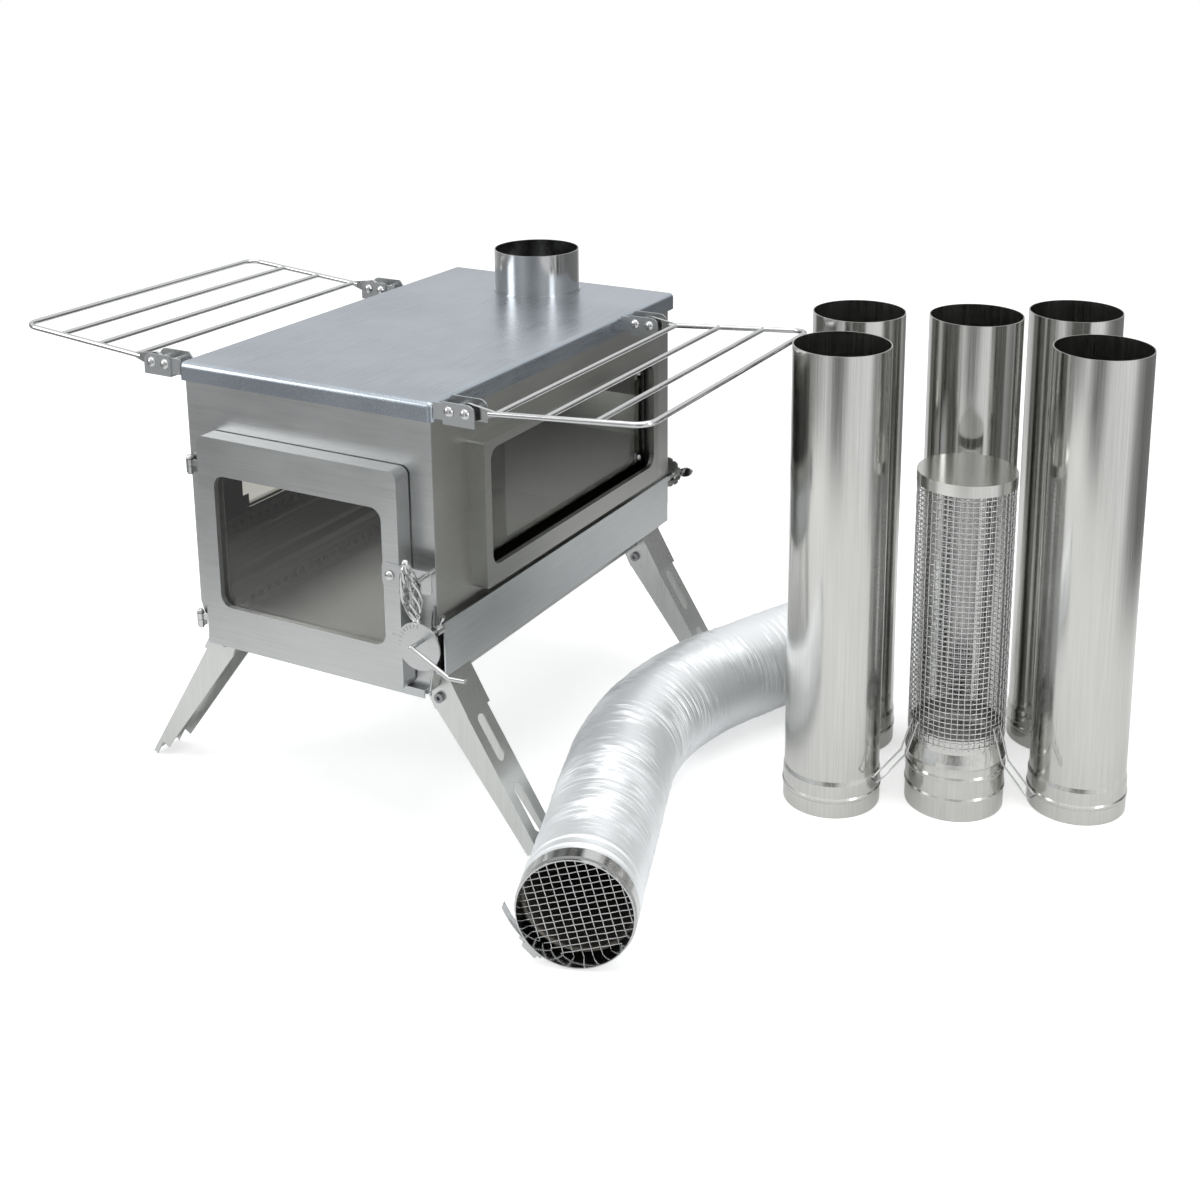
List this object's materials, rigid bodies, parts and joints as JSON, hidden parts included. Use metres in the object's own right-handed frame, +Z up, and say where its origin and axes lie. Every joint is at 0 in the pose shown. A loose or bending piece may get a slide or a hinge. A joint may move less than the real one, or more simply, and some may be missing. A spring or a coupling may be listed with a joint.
{
  "type": "tent wood stove",
  "caption": "Stainless steel tent wood stove with glass door, side windows, folding racks and legs, beside its chimney sections, spark arrestor and flexible air hose.",
  "frame": {"origin": "on the floor under the middle of the firebox body", "axes": "+Z up, -Y out of the door, +X to the latch side"},
  "size_m": [0.994, 0.6462, 0.4665],
  "materials": {
    "satin_steel": "satin",
    "lid_steel": "satin",
    "dark_steel": "satin",
    "bright_steel": "polished",
    "pipe_steel": "polished",
    "pane_glass": "gloss",
    "duct_foil": "satin"
  },
  "bodies": {
    "stove": {"side_wall_left": "dark_steel", "side_wall_right": "dark_steel", "front_panel": "satin_steel", "back_panel": "satin_steel", "base_tray": "satin_steel", "firebox_floor": "dark_steel", "rear_baffle": "dark_steel", "lid": "lid_steel", "flue_collar": "bright_steel", "side_duct": "satin_steel", "liner_left": "dark_steel", "liner_right": "dark_steel", "window_frame_left": "dark_steel", "window_frame_right": "dark_steel", "window_glass_left": "pane_glass", "window_glass_right": "pane_glass", "window_clips": "bright_steel", "hinge_brackets": "bright_steel", "catch_pin": "bright_steel", "rod_collars": "bright_steel", "thumb_screw": "bright_steel", "tool_wire": "bright_steel", "air_inlet": "bright_steel", "rack_brackets": "satin_steel", "rack_rivets": "bright_steel", "leg_brackets": "satin_steel", "leg_bolts": "dark_steel"},
    "door": {"door_frame": "satin_steel", "door_glass": "pane_glass", "door_clips": "bright_steel", "door_hinge_eyes": "bright_steel", "latch_rivet": "bright_steel"},
    "latch": {"latch_plate": "satin_steel", "latch_handle": "bright_steel"},
    "air_control": {"air_rod": "bright_steel", "dial_plate": "satin_steel", "rear_shutter": "dark_steel", "wing_nut": "bright_steel"},
    "rack_l": {"rack_left": "bright_steel"},
    "rack_r": {"rack_right": "bright_steel"},
    "leg_fl": {"leg_front_left": "satin_steel"},
    "leg_fr": {"leg_front_right": "satin_steel"},
    "leg_rl": {"leg_rear_left": "satin_steel"},
    "leg_rr": {"leg_rear_right": "satin_steel"},
    "chimney_1": {"pipe_1": "pipe_steel"},
    "chimney_2": {"pipe_2": "pipe_steel"},
    "chimney_3": {"pipe_3": "pipe_steel"},
    "chimney_4": {"pipe_4": "pipe_steel"},
    "chimney_5": {"pipe_5": "pipe_steel"},
    "spark_arrestor": {"arrestor_base": "pipe_steel", "arrestor_mesh": "bright_steel", "arrestor_cap": "pipe_steel"},
    "clip_l": {"arrestor_clip_left": "bright_steel"},
    "clip_r": {"arrestor_clip_right": "bright_steel"},
    "air_hose": {"hose_duct": "duct_foil", "hose_ends": "bright_steel", "hose_screen": "bright_steel", "hose_clamps": "bright_steel"}
  },
  "joints": [
    {"name": "door_hinge", "type": "hinge", "parent": "stove", "child": "door", "pos_m": [-0.1315, -0.2192, 0.25], "axis": [0, 0, -1], "range_deg": [0, 150]},
    {"name": "latch_pivot", "type": "hinge", "parent": "door", "child": "latch", "pos_m": [0.1013, -0.235, 0.269], "axis": [0, -1, 0], "range_deg": [0, 60]},
    {"name": "air_control_turn", "type": "hinge", "parent": "stove", "child": "air_control", "pos_m": [0.1372, 0, 0.2195], "axis": [0, 1, 0], "range_deg": [0, 90]},
    {"name": "rack_fold_right", "type": "hinge", "parent": "stove", "child": "rack_r", "pos_m": [0.171, -0.05, 0.4175], "axis": [0, 1, 0], "range_deg": [0, 94]},
    {"name": "rack_fold_left", "type": "hinge", "parent": "stove", "child": "rack_l", "pos_m": [-0.171, -0.05, 0.4175], "axis": [0, -1, 0], "range_deg": [0, 94]},
    {"name": "leg_fold_front_left", "type": "hinge", "parent": "stove", "child": "leg_fl", "pos_m": [-0.122, -0.1805, 0.144], "axis": [0, -1, 0], "range_deg": [0, 70]},
    {"name": "leg_fold_front_right", "type": "hinge", "parent": "stove", "child": "leg_fr", "pos_m": [0.122, -0.1805, 0.144], "axis": [0, 1, 0], "range_deg": [0, 70]},
    {"name": "leg_fold_rear_left", "type": "hinge", "parent": "stove", "child": "leg_rl", "pos_m": [-0.122, 0.1805, 0.144], "axis": [0, -1, 0], "range_deg": [0, 70]},
    {"name": "leg_fold_rear_right", "type": "hinge", "parent": "stove", "child": "leg_rr", "pos_m": [0.122, 0.1805, 0.144], "axis": [0, 1, 0], "range_deg": [0, 70]},
    {"name": "pipe_1_lift", "type": "slide", "parent": "stove", "child": "chimney_1", "axis": [0, 0, 1], "range_m": [0, 0.45]},
    {"name": "pipe_2_lift", "type": "slide", "parent": "stove", "child": "chimney_2", "axis": [0, 0, 1], "range_m": [0, 0.45]},
    {"name": "pipe_3_lift", "type": "slide", "parent": "stove", "child": "chimney_3", "axis": [0, 0, 1], "range_m": [0, 0.45]},
    {"name": "pipe_4_lift", "type": "slide", "parent": "stove", "child": "chimney_4", "axis": [0, 0, 1], "range_m": [0, 0.45]},
    {"name": "pipe_5_lift", "type": "slide", "parent": "stove", "child": "chimney_5", "axis": [0, 0, 1], "range_m": [0, 0.45]},
    {"name": "arrestor_lift", "type": "slide", "parent": "stove", "child": "spark_arrestor", "axis": [0, 0, 1], "range_m": [0, 0.45]},
    {"name": "hose_lift", "type": "slide", "parent": "stove", "child": "air_hose", "axis": [0, 0, 1], "range_m": [0, 0.3]},
    {"name": "arrestor_clip_swing_left", "type": "hinge", "parent": "spark_arrestor", "child": "clip_l", "pos_m": [0.4748, 0.05491, 0.09], "axis": [0.788, -0.6157, 0], "range_deg": [0, 20]},
    {"name": "arrestor_clip_swing_right", "type": "hinge", "parent": "spark_arrestor", "child": "clip_r", "pos_m": [0.54576, 0.07459, 0.09], "axis": [0.3584, 0.9336, 0], "range_deg": [0, 20]}
  ]
}
